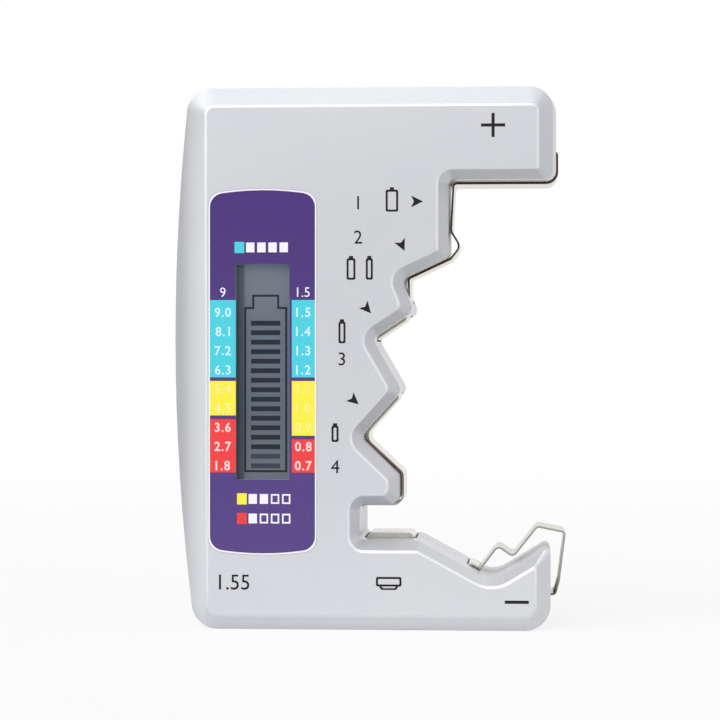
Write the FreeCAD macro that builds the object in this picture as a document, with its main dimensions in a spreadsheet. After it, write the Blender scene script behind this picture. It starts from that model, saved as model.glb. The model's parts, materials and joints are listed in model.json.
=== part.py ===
import FreeCAD, Part
import math
import os
from collections import namedtuple
from types import SimpleNamespace

import Sketcher
from FreeCAD import Placement, Rotation, Vector

# Hand-held battery tester, standing on its flat base.
# X runs to the right, Z up from the base, and the front faces -Y. All sizes are in millimetres.
SIZES = {
    # Case outline, seen from the front; heights are above the base. Those of the arm, recess, notches and teeth
    # are stated for a case of the stated height, and follow the height of the case.
    "case_width": 64.6,
    "case_height": 97.1,
    "stated_height": 97.1,
    "top_radius": 4.5,
    "base_radius": 4.7,
    "top_left_out": 0.65,
    "base_left_in": 0.3,
    "grip_bulge": 2.92,
    "face_bulge": 0.1,
    "arm_underside": 80.55,
    "arm_flare": 0.62,
    "arm_radius": 1.8,
    "recess_x": 13.6,
    "recess_radius": 0.9,
    "recess_foot": 66.75,
    "recess_foot_radius": 0.8,
    "notch_radius": 1.4,
    "notch_one_x": 5.13,
    "notch_one_height": 62.8,
    "notch_two_x": 0.0,
    "notch_two_height": 52.2,
    "notch_three_x": -2.31,
    "notch_three_height": 34.4,
    "tooth_radius": 1.5,
    "tooth_one_x": 7.53,
    "tooth_one_height": 57.1,
    "tooth_two_x": 5.38,
    "tooth_two_height": 42.9,
    "tooth_three_x": 4.77,
    "tooth_three_height": 27.6,
    "slot_x": -2.19,
    "slot_roof": 22.5,
    "slot_floor": 16.0,
    "slot_radius": 1.0,
    "slope_x": 8.28,
    "vee_height": 8.86,
    "vee_radius": 4.4,
    "horn_width": 10.8,
    "horn_height": 15.2,
    "horn_radius": 0.9,
    "horn_inset": 0.4,
    # Case depth, walls and edges
    "case_depth": 25.0,
    "front_depth": 15.5,
    "flare_depth": 7.0,
    "wall": 2.2,
    "front_wall": 1.8,
    "rear_wall": 2.0,
    "bevel_depth": 2.4,
    "bevel_top": 3.7,
    "bevel_side": 2.9,
    "bevel_base": 2.9,
    "bevel_notch": 2.1,
    "bevel_slope": 1.9,
    "crown_width": 0.5,
    "crown_drop": 0.16,
    "back_bevel": 0.5,
    "seam": 0.3,
    "least_radius": 0.4,
    "tooth_crown_radius": 1.3,
    # Case screws, their posts and the room round a screw
    "post_margin_x": 5.6,
    "post_margin_top": 7.6,
    "post_margin_base": 6.6,
    "post_middle_x": 8.0,
    "post_radius": 3.2,
    "screw_radius": 1.1,
    "screw_reach": 9.0,
    "screw_head_radius": 2.2,
    "screw_head": 1.6,
    "screw_seat": 6.0,
    "screw_room": 0.25,
    "thread_room": 0.05,
    # Printed label and display
    "label_width": 19.4,
    "label_height": 63.75,
    "label_crown": 1.3,
    "label_radius": 2.5,
    "label_thickness": 0.25,
    "label_recess": 0.2,
    "label_room": 0.05,
    "display_inset": 12.87,
    "display_height": 46.2,
    "window_width": 9.75,
    "window_length": 38.5,
    "glass_width": 13.4,
    "glass_length": 43.0,
    "glass_thickness": 1.1,
    "rear_glass_width": 9.6,
    "film_thickness": 0.2,
    "zebra_width": 1.6,
    "frame_band": 1.5,
    "frame_room": 0.15,
    # Circuit board
    "board_length": 60.0,
    "board_thickness": 1.2,
    "board_gap": 5.4,
    "board_edge_room": 0.5,
    "board_post_inset": 3.2,
    "board_post_radius": 1.9,
    "board_screw_radius": 0.9,
    "board_screw_reach": 3.6,
    "board_head_radius": 1.7,
    "board_head": 1.2,
    # Contact strips
    "strip_thickness": 0.35,
    "strip_width": 12.0,
    "strip_forward": 13.5,
    "strip_lift": 0.06,
    "strip_bend": 0.6,
    "strip_notch_bend": 2.0,
    "strip_tuck": 0.4,
    "wrap_stand": 0.2,
    "strip_start_rise": 5.35,
    "strip_lean_top": 0.8,
    "strip_lean_foot": 0.35,
    "slot_gap": 0.3,
    "slot_mouth": 0.6,
    "tooth_cover": 0.9,
    "bump_drop": 8.9,
    "bump_rise": 1.7,
    "bump_fall": 2.75,
    "bump_radius": 1.5,
    "leaf_crown": 0.75,
    "leaf_crown_radius": 0.8,
    "leaf_ramp": 0.7,
    "leaf_shoulder": 0.2,
    "leaf_foot": 1.1,
    "leaf_room": 0.35,
    "leaf_window_left": 0.45,
    "leaf_window_right": 0.6,
    "bus_tail": 6.4,
    "bus_step": 1.6,
    "tab_lift": 0.18,
    "tab_length": 1.85,
    "hinge_back": 2.5,
    "hinge_gap": 0.45,
    "arm_bend": 0.9,
    "arm_crest_x": 3.15,
    "arm_crest_rise": 4.15,
    "arm_valley_x": 5.9,
    "arm_valley_rise": 2.2,
    "arm_peak_x": 10.25,
    "arm_peak_rise": 7.7,
    "arm_reach": 2.25,
    "arm_reach_rise": 6.7,
    "arm_leg": 1.15,
    "arm_leg_height": 8.4,
    "hook_out": 0.45,
    "hook_in": 3.0,
    "hook_height": 5.9,
    "hook_lift": 0.1,
    "hook_slot_low": 3.6,
    "hook_slot_high": 8.7,
    # Round pads for a nine-volt cell, in the left wall
    "pad_spacing": 12.7,
    "pad_height": 49.5,
    "pad_forward": 4.5,
    "pad_radius_positive": 3.3,
    "pad_radius_negative": 4.2,
    "pad_thickness": 0.8,
    "pad_dish": 0.3,
    "pad_rim": 0.7,
    "pad_shank": 1.5,
    "pad_clench_radius": 2.3,
    "pad_clench": 0.7,
    "pad_clench_gap": 0.35,
    "pad_seat": 0.35,
    "pad_room": 0.1,
    # Electronic pieces on the back of the board
    "blob_radius": 5.0,
    "blob_height": 1.8,
    "chip_length": 2.0,
    "chip_width": 1.3,
    "chip_height": 0.6,
    "chip_pitch": 3.2,
    "chip_count": 6,
    "capacitor_radius": 2.5,
    "capacitor_height": 7.0,
    "capacitor_pitch": 8.0,
    "diode_radius": 0.8,
    "diode_length": 3.6,
    "load_radius": 1.7,
    "load_length": 9.0,
    "load_lift": 2.4,
    "load_pin": 0.35,
    "load_pin_reach": 1.6,
    "lead_radius": 0.5,
    "lead_bend": 1.2,
    "lead_lift": 6.0,
    "lead_run": 6.0,
    "lead_margin": 1.6,
    "lead_rise": 7.0,
}

# Levels along Y, from the front face to the back
FACE = "(-sizes.case_depth / 2)"
INNER = f"({FACE} + sizes.front_wall)"
PARTING = f"({FACE} + sizes.front_depth)"
BACK = "(sizes.case_depth / 2)"
BACK_INNER = f"({BACK} - sizes.rear_wall)"
SCREW_SEAT = f"({BACK} - sizes.screw_seat)"
BOARD_FRONT = f"({INNER} + sizes.board_gap)"
BOARD_BACK = f"({BOARD_FRONT} + sizes.board_thickness)"
GLASS_FRONT = f"({INNER} + sizes.film_thickness)"
GLASS_MIDDLE = f"({GLASS_FRONT} + sizes.glass_thickness)"
GLASS_BACK = f"({GLASS_MIDDLE} + sizes.glass_thickness)"
STRIP_FRONT = f"({BACK_INNER} - sizes.strip_forward)"
STRIP_BACK = f"({STRIP_FRONT} + sizes.strip_width)"
PAD_LEVEL = f"({PARTING} - sizes.pad_forward)"

# Lines along X and Z that several pieces share
HALF_WIDTH = "(sizes.case_width / 2)"
GRIP_X = f"(-{HALF_WIDTH} - (sizes.top_left_out - sizes.base_left_in) / 2 - sizes.grip_bulge)"
DISPLAY_X = f"(-{HALF_WIDTH} + sizes.display_inset)"
BOARD_LEFT = f"(-{HALF_WIDTH} + sizes.wall + sizes.board_edge_room)"
BOARD_RIGHT = "(sizes.slot_x - sizes.wall - sizes.board_edge_room)"
BOARD_WIDTH = f"({BOARD_RIGHT} - {BOARD_LEFT})"
BOARD_BASE = "(sizes.display_height - sizes.board_length / 2)"

# A corner of an outline in the plane of the front face
Corner = namedtuple("Corner", "x z radius")

document = FreeCAD.newDocument("battery_tester")
sheet = document.addObject("Spreadsheet::Sheet", "sizes")
for row, (alias, amount) in enumerate(SIZES.items(), start=1):
    sheet.set(f"A{row}", alias)
    sheet.set(f"B{row}", str(amount))
    sheet.setAlias(f"B{row}", alias)
document.recompute()
size = SimpleNamespace(**{alias: float(sheet.get(alias)) for alias in SIZES})
size.chip_count = int(size.chip_count)


def number(expression):
    """Present value of an expression of the sheet."""
    return float(sheet.evalExpression(expression))


# Outlines made of straight sides and tangent arcs

def spot(corner):
    return Vector(corner.x, corner.z, 0)


def heading(start, end):
    return (spot(end) - spot(start)).normalize()


def turn_between(along, onward):
    """Positive where the way ahead bends to the left."""
    return along.x * onward.y - along.y * onward.x


def crossing(point, along, other_point, other_along):
    """Point where two lines of the plane cross."""
    gap = other_point - point
    return point + along * (turn_between(gap, other_along) / turn_between(along, other_along))


def inset(corners, widths, least_radius=size.least_radius):
    """A clockwise outline with each side moved inwards by its own width."""
    names = list(corners)
    moved = {}
    for index, name in enumerate(names):
        earlier = names[index - 1]
        here = corners[name]
        along = heading(corners[earlier], here)
        onward = heading(here, corners[names[(index + 1) % len(names)]])
        shifted_in = spot(here) + Vector(along.y, -along.x, 0) * widths[earlier]
        shifted_out = spot(here) + Vector(onward.y, -onward.x, 0) * widths[name]
        point = crossing(shifted_in, along, shifted_out, onward)
        growth = math.copysign(1, turn_between(along, onward)) * (widths[earlier] + widths[name]) / 2
        moved[name] = Corner(point.x, point.y, max(here.radius + growth, least_radius))
    return moved


def evenly(corners, width, least_radius=size.least_radius):
    """An outline with all its sides moved inwards by one width."""
    return inset(corners, dict.fromkeys(corners, width), least_radius)


def rounded(corners):
    """Straight sides and tangent arcs of a closed outline."""
    corners = list(corners)
    bends = []
    for index, here in enumerate(corners):
        back = heading(here, corners[index - 1])
        onward = heading(here, corners[(index + 1) % len(corners)])
        half_angle = back.getAngle(onward) / 2
        reach = here.radius / math.tan(half_angle)
        sagitta = here.radius / math.sin(half_angle) - here.radius
        middle = spot(here) + (back + onward).normalize() * sagitta
        bends.append((spot(here) + back * reach, middle, spot(here) + onward * reach, here.radius))
    edges = []
    for index, (start, middle, end, radius) in enumerate(bends):
        if radius > 0:
            edges.append(Part.Arc(start, middle, end))
        edges.append(Part.LineSegment(end, bends[(index + 1) % len(bends)][0]))
    return edges


def ribbon(path, thickness):
    """Closed outline of a bent strip of even thickness about its middle line."""
    left, right = [], []
    for index, here in enumerate(path):
        along = heading(path[max(index - 1, 0)], path[max(index, 1)])
        onward = heading(path[min(index, len(path) - 2)], path[min(index + 1, len(path) - 1)])
        inner_end = 0 < index < len(path) - 1
        for side, sign in ((left, 1), (right, -1)):
            shift = sign * thickness / 2
            point = spot(here) + Vector(-onward.y, onward.x, 0) * shift
            radius = 0
            if inner_end:
                start = spot(here) + Vector(-along.y, along.x, 0) * shift
                point = crossing(start, along, point, onward)
                radius = here.radius - math.copysign(thickness / 2, sign * turn_between(along, onward))
            side.append(Corner(point.x, point.y, radius))
    return left + right[::-1]


# Features shared by the moulded pieces

def new_body(name):
    body = document.addObject("PartDesign::Body", name)
    body.Label = name
    return body


def sketch_on(body, name, role, depth, edges):
    """A sketch on one of the body's origin planes, moved out along the plane's normal."""
    sketch = body.newObject("Sketcher::SketchObject", f"{body.Name}_{name}")
    plane = next(feature for feature in body.Origin.OriginFeatures if feature.Role == role)
    sketch.AttachmentSupport = [(plane, "")]
    sketch.MapMode = "FlatFace"
    sketch.setExpression("AttachmentOffset.Base.z", depth)
    sketch.addGeometry(edges, False)
    return sketch


def front_sketch(body, name, level, edges):
    """A sketch seen from the front, at a level along Y. Its normal points to the front."""
    return sketch_on(body, name, "XZ_Plane", f"-{level}", edges)


def circles(body, name, level, centres, *radii):
    """Circles about each centre, seen from the front, whose radii follow expressions."""
    rounds = [(centre, radius) for centre in centres for radius in radii]
    edges = [Part.Circle(spot(centre), Vector(0, 0, 1), number(radius)) for centre, radius in rounds]
    sketch = front_sketch(body, name, level, edges)
    for index, (_, radius) in enumerate(rounds):
        constraint = sketch.addConstraint(Sketcher.Constraint("Radius", index, number(radius)))
        sketch.setExpression(f"Constraints[{constraint}]", radius)
    return sketch


# Sides of the posts, shanks and wires inside the case
HIDDEN_SIDES = 8


def polygon(centre, radius):
    """Sides of a regular outline about a centre of the sketch, with a corner on its first axis."""
    turns = [2 * math.pi * side / HIDDEN_SIDES for side in range(HIDDEN_SIDES)]
    points = [centre + Vector(math.cos(turn), math.sin(turn), 0) * radius for turn in turns]
    return [Part.LineSegment(start, end) for start, end in zip(points, points[1:] + points[:1])]


def polygons(body, name, level, centres, *radii):
    """Eight-sided outlines about each centre, seen from the front."""
    edges = [side for centre in centres for radius in radii for side in polygon(spot(centre), number(radius))]
    return front_sketch(body, name, level, edges)


def loft(body, name, sections):
    feature = body.newObject("PartDesign::AdditiveLoft", f"{body.Name}_{name}")
    feature.Profile = sections[0]
    feature.Sections = sections[1:]
    feature.Ruled = True
    return feature


def extrude(body, kind, name, sketch, length=None, to_back=False):
    """A pad or pocket along Y. With no length given, a pocket goes right through."""
    feature = body.newObject(f"PartDesign::{kind}", f"{body.Name}_{name}")
    feature.Profile = sketch
    feature.Reversed = to_back if kind == "Pad" else not to_back
    if length is None:
        feature.Type = "ThroughAll"
    else:
        feature.setExpression("Length", length)
    return feature


def pad(body, name, sketch, length, to_back=False):
    return extrude(body, "Pad", name, sketch, length, to_back)


def pocket(body, name, sketch, length=None, to_back=False):
    return extrude(body, "Pocket", name, sketch, length, to_back)


def revolve(body, profile):
    """A turned piece about the body's own Z axis, from a profile of radius and height."""
    corners = [Corner(radius, height, 0) for radius, height in profile]
    sketch = sketch_on(body, "profile", "XZ_Plane", "0", rounded(corners))
    feature = body.newObject("PartDesign::Revolution", f"{body.Name}_turned")
    feature.Profile = sketch
    feature.ReferenceAxis = (sketch, ["V_Axis"])
    feature.Angle = 360
    return body


def place(item, x, y, z):
    for axis, expression in zip("xyz", (x, y, z)):
        item.setExpression(f"Placement.Base.{axis}", expression)
    return item


def block(name, corner, span):
    """A block whose lowest corner and spans follow expressions."""
    box = document.addObject("Part::Box", name)
    for side, expression in zip(("Length", "Width", "Height"), span):
        box.setExpression(side, expression)
    return place(box, *corner)


def rod(name, base, radius, length, direction=Vector(0, 1, 0)):
    """A round rod that starts at a base point and runs along a direction."""
    cylinder = document.addObject("Part::Cylinder", name)
    cylinder.setExpression("Radius", radius)
    cylinder.setExpression("Height", length)
    cylinder.Placement = Placement(Vector(), Rotation(Vector(0, 0, 1), direction))
    return place(cylinder, *base)


def prism(name, base, radius, length, direction=Vector(0, 1, 0)):
    """An eight-sided rod, for what stays inside the case."""
    item = document.addObject("Part::Prism", name)
    item.Polygon = HIDDEN_SIDES
    item.setExpression("Circumradius", radius)
    item.setExpression("Height", length)
    item.Placement = Placement(Vector(), Rotation(Vector(0, 0, 1), direction))
    return place(item, *base)


def joined(name, pieces):
    fused = document.addObject("Part::MultiFuse", name)
    fused.Shapes = pieces
    return fused


def grouped(name, pieces):
    """Separate solids that share one node."""
    group = document.addObject("Part::Compound", name)
    group.Links = pieces
    return group


# Kind of sweep that keeps its corners mitred
MITRED = 1


def wire_rod(name, points, radius, bend):
    """A thin eight-sided wire along straight runs, with a short run across each bend."""
    path = points[:1]
    for before, here, after in zip(points, points[1:], points[2:]):
        back = (before - here).normalize()
        onward = (after - here).normalize()
        reach = bend / math.tan(back.getAngle(onward) / 2)
        path += [here + back * reach, here + onward * reach]
    path.append(points[-1])
    circle = Part.makeCircle(radius, points[0], points[1] - points[0])
    ring = Part.makePolygon(circle.discretize(HIDDEN_SIDES + 1))
    wire = document.addObject("Part::Feature", name)
    wire.Shape = Part.makePolygon(path).makePipeShell([ring], True, False, MITRED)
    return wire


# Case outline, clockwise from the top left, with the bevel of the side that follows each corner

# Share of the left side, between its corners, that is one arc
GRIP_SHARE = 0.8


def grip_corner(middle, bulge):
    """Corner of the tangents to the arc of the left side, which stands out from its ends by a bulge."""
    half_height = size.case_height / 2
    reach = bulge / (1 - GRIP_SHARE / 2)
    radius = GRIP_SHARE * half_height * math.hypot(half_height, reach) / reach
    return Corner(middle - reach, half_height, radius)


def raised(height):
    """A stated height above the cell slot, brought to the height of the case."""
    rise = (size.case_height - size.slot_roof) / (size.stated_height - size.slot_roof)
    return size.slot_roof + (height - size.slot_roof) * rise


def case_outline():
    half = size.case_width / 2
    arm = raised(size.arm_underside)
    arm_tip = half + size.arm_flare
    horn = half - size.horn_inset
    vee = half - size.horn_width
    left_top = -half - size.top_left_out
    left_base = -half + size.base_left_in
    return {
        "top_left": Corner(left_top, size.case_height, size.top_radius),
        "top_right": Corner(arm_tip, size.case_height, size.top_radius),
        "arm_end": Corner(arm_tip, arm, size.arm_radius),
        "recess_top": Corner(size.recess_x, arm, size.recess_radius),
        "recess_foot": Corner(size.recess_x, raised(size.recess_foot), size.recess_foot_radius),
        "notch_one": Corner(size.notch_one_x, raised(size.notch_one_height), size.notch_radius),
        "tooth_one": Corner(size.tooth_one_x, raised(size.tooth_one_height), size.tooth_radius),
        "notch_two": Corner(size.notch_two_x, raised(size.notch_two_height), size.notch_radius),
        "tooth_two": Corner(size.tooth_two_x, raised(size.tooth_two_height), size.tooth_radius),
        "notch_three": Corner(size.notch_three_x, raised(size.notch_three_height), size.notch_radius),
        "tooth_three": Corner(size.tooth_three_x, raised(size.tooth_three_height), size.slot_radius),
        "tooth_base": Corner(size.tooth_three_x, size.slot_roof, size.notch_radius),
        "slot_roof": Corner(size.slot_x, size.slot_roof, size.slot_radius),
        "slot_floor": Corner(size.slot_x, size.slot_floor, size.slot_radius),
        "slope": Corner(size.slope_x, size.slot_floor, size.slot_radius),
        "vee": Corner(vee, size.vee_height, size.vee_radius),
        "horn": Corner(horn, size.horn_height, size.horn_radius),
        "base_right": Corner(horn, 0, size.base_radius),
        "base_left": Corner(left_base, 0, size.base_radius),
        "grip": grip_corner((left_top + left_base) / 2, size.grip_bulge),
    }


NOTCH_SIDES = ("arm_end", "recess_top", "recess_foot", "notch_one", "tooth_one", "notch_two", "tooth_two",
               "notch_three", "tooth_three", "tooth_base", "slot_roof", "slot_floor")
SLOPE_SIDES = ("slope", "vee")
TEETH = ("tooth_one", "tooth_two", "tooth_three", "tooth_base")

outline = case_outline()
flare = dict.fromkeys(outline, 0)
flare["top_right"] = size.arm_flare
brow = inset(outline, flare)
bevel = dict.fromkeys(outline, size.bevel_side)
bevel.update(top_left=size.bevel_top, base_right=size.bevel_base)
bevel.update(dict.fromkeys(NOTCH_SIDES, size.bevel_notch))
bevel.update(dict.fromkeys(SLOPE_SIDES, size.bevel_slope))
bevel_foot = {side: width - size.crown_width for side, width in bevel.items()}
straight_brow = dict(brow)
straight_brow["top_left"] = brow["top_left"]._replace(x=-size.case_width / 2)
straight_brow["grip"] = grip_corner((straight_brow["top_left"].x + brow["base_left"].x) / 2, size.face_bulge)


def face_edge(widths):
    """Edge of the front face, inside its bevel, with its own radius at the teeth."""
    corners = inset(straight_brow, widths)
    for name in TEETH:
        corners[name] = corners[name]._replace(radius=size.tooth_crown_radius)
    return corners


cavity = evenly(outline, size.wall, least_radius=0)


def section(body, name, level, corners):
    return front_sketch(body, name, level, rounded(corners.values()))


# Share of the label's top and base, between their corners, that is one arc
CROWN_SHARE = 0.95


def label_outline():
    half = size.label_width / 2
    rise = size.label_height / 2
    x = number(DISPLAY_X)
    z = size.display_height
    crown = rise + size.label_crown
    slope = math.atan2(size.label_crown, half)
    corner_reach = size.label_radius * math.tan((math.pi / 2 - slope) / 2)
    crown_reach = CROWN_SHARE * (math.hypot(half, size.label_crown) - corner_reach)
    crown_radius = crown_reach / math.tan(slope)
    return {
        "top_left": Corner(x - half, z + rise, size.label_radius),
        "top": Corner(x, z + crown, crown_radius),
        "top_right": Corner(x + half, z + rise, size.label_radius),
        "base_right": Corner(x + half, z - rise, size.label_radius),
        "base": Corner(x, z - crown, crown_radius),
        "base_left": Corner(x - half, z - rise, size.label_radius),
    }


def rectangle(left, base, right, top):
    return [Corner(left, top, 0), Corner(right, top, 0), Corner(right, base, 0), Corner(left, base, 0)]


def window_corners():
    x = number(DISPLAY_X)
    half = size.window_width / 2
    rise = size.window_length / 2
    return rectangle(x - half, size.display_height - rise, x + half, size.display_height + rise)


# Contact strips, as middle lines seen from the front

def part_way(start, end, share, radius=0.0):
    """A corner part of the way, or past the end, of the line between two corners."""
    point = spot(start) + (spot(end) - spot(start)) * share
    return Corner(point.x, point.y, radius)


def bent(corner, radius):
    return Corner(corner.x, corner.z, radius)


half_width = size.case_width / 2
arm_wall = half_width + size.arm_flare
horn_wall = half_width - size.horn_inset
seat = size.strip_lift + size.strip_thickness / 2
seat_line = evenly(outline, -seat)
wrap_line = evenly(outline, -seat - size.wrap_stand)
tooth_core = evenly(outline, size.tooth_cover)
under_line = evenly(outline, size.wall + seat)
tab_line = evenly(outline, -size.tab_lift - size.strip_thickness / 2)
tuck = size.wall + size.strip_tuck


# Where the positive strip leaves or meets a side of the teeth, as shares of that side
CHORD_START = 0.9
FIRST_LANDING = 0.3
NOTCH_PASS = 1.45
SECOND_LANDING = 0.18
FIRST_SLOT_START = 0.35
SECOND_SLOT_START = 0.85
STEP_SLOT = (-0.15, 1.1)


def start_run():
    """The end of the positive strip that goes in through the right wall of the arm."""
    height = outline["arm_end"].z + size.strip_start_rise
    return [Corner(arm_wall - tuck, height, 0), Corner(arm_wall + seat, height, size.strip_bend)]


def tooth_one_run():
    chord = part_way(seat_line["recess_foot"], seat_line["notch_one"], CHORD_START, size.strip_bend)
    landing = part_way(seat_line["tooth_one"], seat_line["notch_two"], FIRST_LANDING, size.strip_bend)
    return [chord, bent(tooth_core["tooth_one"], size.strip_bend), landing]


def tooth_two_run():
    inside = part_way(seat_line["tooth_one"], seat_line["notch_two"], NOTCH_PASS, size.strip_notch_bend)
    landing = part_way(seat_line["tooth_two"], seat_line["notch_three"], SECOND_LANDING, size.strip_bend)
    return [inside, bent(tooth_core["tooth_two"], size.strip_bend), landing]


def tail_end():
    return Corner(size.slot_x - tuck, wrap_line["slot_roof"].z, 0)


def positive_path():
    bump_x = size.recess_x + size.strip_lean_foot
    bump = outline["arm_end"].z - size.bump_drop
    return [
        *start_run(),
        seat_line["arm_end"],
        seat_line["recess_top"]._replace(x=size.recess_x + size.strip_lean_top),
        Corner(bump_x, bump, size.bump_radius),
        Corner(bump_x + size.bump_rise, bump - size.bump_fall, size.bump_radius),
        bent(seat_line["recess_foot"], size.strip_bend),
        *tooth_one_run(),
        *tooth_two_run(),
        bent(seat_line["notch_three"], size.strip_notch_bend),
        wrap_line["tooth_three"],
        wrap_line["tooth_base"],
        tail_end(),
    ]


slope_along = heading(outline["slope"], outline["vee"])
slope_up = Vector(-slope_along.y, slope_along.x, 0)


def on_tab(distance, radius=0.0):
    """A corner on the tab that lies on the slope, measured back from the vee."""
    point = spot(tab_line["vee"]) - slope_along * distance
    return Corner(point.x, point.y, radius)


hinge = on_tab(size.hinge_back)


def bus_step():
    """Where the negative strip comes up through the slope, from under it to the tab."""
    top = on_tab(size.hinge_back + size.tab_length, size.strip_bend)
    rise = size.tab_lift + size.wall + seat + size.strip_thickness / 2
    point = spot(top) - slope_along * size.bus_step - slope_up * rise
    return [Corner(point.x, point.y, size.strip_bend), top]


def negative_path():
    start = Corner(size.slot_x - size.bus_tail, under_line["slope"].z, 0)
    return [start, bent(under_line["slope"], size.strip_bend), *bus_step(),
            on_tab(size.hinge_back + size.hinge_gap)]


def leaf_window():
    left = size.slot_x + size.leaf_window_left
    right = size.slope_x - size.leaf_window_right
    base = size.slot_floor - size.wall - size.slot_mouth
    return rectangle(left, base, right, size.slot_floor + size.slot_mouth)


def leaf_path():
    window = leaf_window()
    room = size.leaf_room + size.strip_thickness / 2
    left = window[0].x + room
    right = window[1].x - room
    foot = size.slot_floor - size.leaf_foot
    shoulder = size.slot_floor + size.leaf_shoulder
    crown = size.slot_floor + size.leaf_crown
    return [
        Corner(left, foot, 0),
        Corner(left, shoulder, size.strip_bend),
        Corner(left + size.leaf_ramp, crown, size.leaf_crown_radius),
        Corner(right - size.leaf_ramp, crown, size.leaf_crown_radius),
        Corner(right, shoulder, size.strip_bend),
        Corner(right, foot, 0),
    ]


def arm_path():
    return [
        hinge,
        Corner(hinge.x + size.arm_crest_x, hinge.z + size.arm_crest_rise, size.arm_bend),
        Corner(hinge.x + size.arm_valley_x, hinge.z + size.arm_valley_rise, size.arm_bend),
        Corner(hinge.x + size.arm_peak_x, hinge.z + size.arm_peak_rise, size.arm_bend),
        Corner(half_width + size.arm_reach, hinge.z + size.arm_reach_rise, size.strip_bend),
        Corner(half_width + size.arm_leg, size.arm_leg_height, size.arm_bend),
        Corner(half_width + size.hook_out, size.hook_height, size.strip_bend),
        Corner(half_width - size.hook_in, size.hook_height + size.hook_lift, 0),
    ]


def strip(name, path):
    """A bent strip of the common thickness and width."""
    body = new_body(name)
    outline_sketch = front_sketch(body, "bends", STRIP_BACK, rounded(ribbon(path, size.strip_thickness)))
    pad(body, "strip", outline_sketch, "sizes.strip_width")
    return body


def button_cell_leaf():
    """Raised leaf with a lip that closes its front."""
    path = leaf_path()
    body = strip("button_cell_leaf", path)
    lip = front_sketch(body, "lip_outline", STRIP_FRONT, rounded(path))
    pad(body, "lip", lip, "sizes.strip_thickness", to_back=True)
    return body


def contact_openings():
    """Outlines of the openings that the strips pass through, with room round each strip."""
    thickness = size.strip_thickness + 2 * size.slot_gap
    entry = start_run()
    first_tooth = tooth_one_run()
    second_tooth = tooth_two_run()
    tail = tail_end()
    mouth = size.slot_mouth
    hook_slot = rectangle(horn_wall - size.wall - mouth, size.hook_slot_low, horn_wall + mouth,
                          size.hook_slot_high)
    step = bus_step()
    runs = [
        [Corner(entry[0].x - mouth, entry[0].z, 0), Corner(arm_wall + mouth, entry[1].z, 0)],
        [part_way(first_tooth[0], first_tooth[1], FIRST_SLOT_START), *first_tooth[1:]],
        [part_way(seat_line["tooth_one"], seat_line["notch_two"], SECOND_SLOT_START), *second_tooth],
        [Corner(size.slot_x + mouth, tail.z, 0), Corner(tail.x - mouth, tail.z, 0)],
        [part_way(*step, share) for share in STEP_SLOT],
    ]
    edges = rounded(leaf_window()) + rounded(hook_slot)
    for run in runs:
        edges += rounded(ribbon(run, thickness))
    return edges


# Case covers

# How deep the posts root in a wall, as a share of it
POST_ROOT = 0.25


def post_centres():
    left = -half_width + size.post_margin_x
    top = size.case_height - size.post_margin_top
    arm_middle = (size.case_height + outline["arm_end"].z) / 2
    return [Corner(left, top, 0), Corner(-left, arm_middle, 0), Corner(left, size.post_margin_base, 0),
            Corner(size.post_middle_x, size.post_margin_base, 0)]


def board_post_centres():
    left = number(BOARD_LEFT) + size.board_post_inset
    base = number(BOARD_BASE) + size.board_post_inset
    right = number(BOARD_RIGHT) - size.board_post_inset
    top = base + size.board_length - 2 * size.board_post_inset
    return [Corner(x, z, 0) for x in (left, right) for z in (base, top)]


def pad_spots():
    """Middles of the round pads, along Y and Z, with the radius of each."""
    level = number(PAD_LEVEL)
    for side, radius in ((1, size.pad_radius_positive), (-1, size.pad_radius_negative)):
        yield Vector(level, size.pad_height + side * size.pad_spacing / 2, 0), radius


def front_cover():
    body = new_body("front_cover")
    loft(body, "shell", [
        section(body, "wall_back", PARTING, outline),
        section(body, "flare", f"({FACE} + sizes.flare_depth)", outline),
        section(body, "wall_front", f"({FACE} + sizes.bevel_depth)", brow),
        section(body, "bevel", f"({FACE} + sizes.crown_drop)", face_edge(bevel_foot)),
        section(body, "face", FACE, face_edge(bevel)),
    ])
    pocket(body, "cavity", section(body, "cavity_outline", INNER, cavity), to_back=True)

    root = f"({INNER} - sizes.front_wall * {POST_ROOT})"
    posts = polygons(body, "post_rings", root, post_centres(), "sizes.post_radius",
                     "sizes.screw_radius + sizes.thread_room")
    pad(body, "posts", posts, f"{PARTING} - {root}", to_back=True)
    board_posts = polygons(body, "board_post_rings", root, board_post_centres(), "sizes.board_post_radius",
                           "sizes.board_screw_radius + sizes.thread_room")
    pad(body, "board_posts", board_posts, f"{BOARD_FRONT} - {root}", to_back=True)

    label_edge = rounded(evenly(label_outline(), -size.label_room).values())
    label_seat = front_sketch(body, "label_edge", FACE, label_edge)
    pocket(body, "label_seat", label_seat, "sizes.label_recess", to_back=True)
    window = front_sketch(body, "window_edge", FACE, rounded(window_corners()))
    pocket(body, "window", window, "sizes.front_wall", to_back=True)

    openings = front_sketch(body, "opening_outlines", f"({STRIP_FRONT} - sizes.slot_gap)", contact_openings())
    pocket(body, "contact_openings", openings, to_back=True)

    seat_rings = [Part.Circle(middle, Vector(0, 0, 1), reach + size.pad_room) for middle, reach in pad_spots()]
    seats = sketch_on(body, "pad_seat_rings", "YZ_Plane", f"{GRIP_X} - sizes.pad_seat", seat_rings)
    pocket(body, "pad_seats", seats, "2 * sizes.pad_seat")
    holes = [side for middle, _ in pad_spots() for side in polygon(middle, size.pad_shank + size.pad_room)]
    hole_sketch = sketch_on(body, "pad_hole_outlines", "YZ_Plane", f"-{HALF_WIDTH} + sizes.wall", holes)
    pocket(body, "pad_holes", hole_sketch, to_back=True)
    return body


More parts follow.
